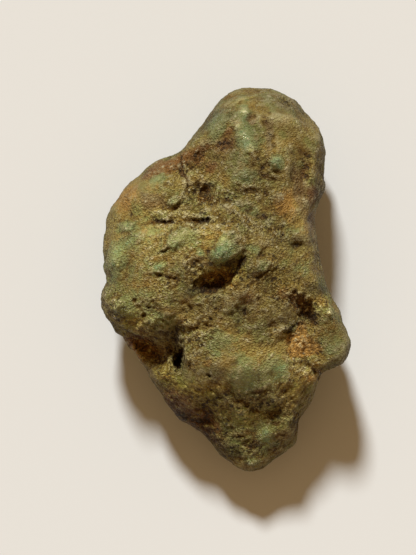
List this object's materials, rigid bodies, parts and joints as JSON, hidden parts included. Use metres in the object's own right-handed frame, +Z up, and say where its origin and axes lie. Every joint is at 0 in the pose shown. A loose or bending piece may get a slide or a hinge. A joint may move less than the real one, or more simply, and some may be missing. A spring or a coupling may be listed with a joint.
{
  "type": "turquoise nugget",
  "caption": "Rough, pitted turquoise stone: a rounded head on a thick neck, a broad lobed body and a blunt tapering tail, lying on its worn flat underside.",
  "frame": {"origin": "middle of the stone's bounding box seen from above, on the surface it rests on", "axes": "+Z up, away from the resting facet, towards the pitted best face; +Y along the stone from its tapering tail to its rounded head; +X towards the side with the small pointed lobe"},
  "size_m": [0.031, 0.048, 0.0186],
  "materials": {
    "turquoise_rough": "rough, grainy olive and khaki turquoise with waxy sage-green lumps, ochre and rust stains and dark brown pits"
  },
  "bodies": {
    "root": {"nugget": "turquoise_rough"}
  },
  "joints": []
}
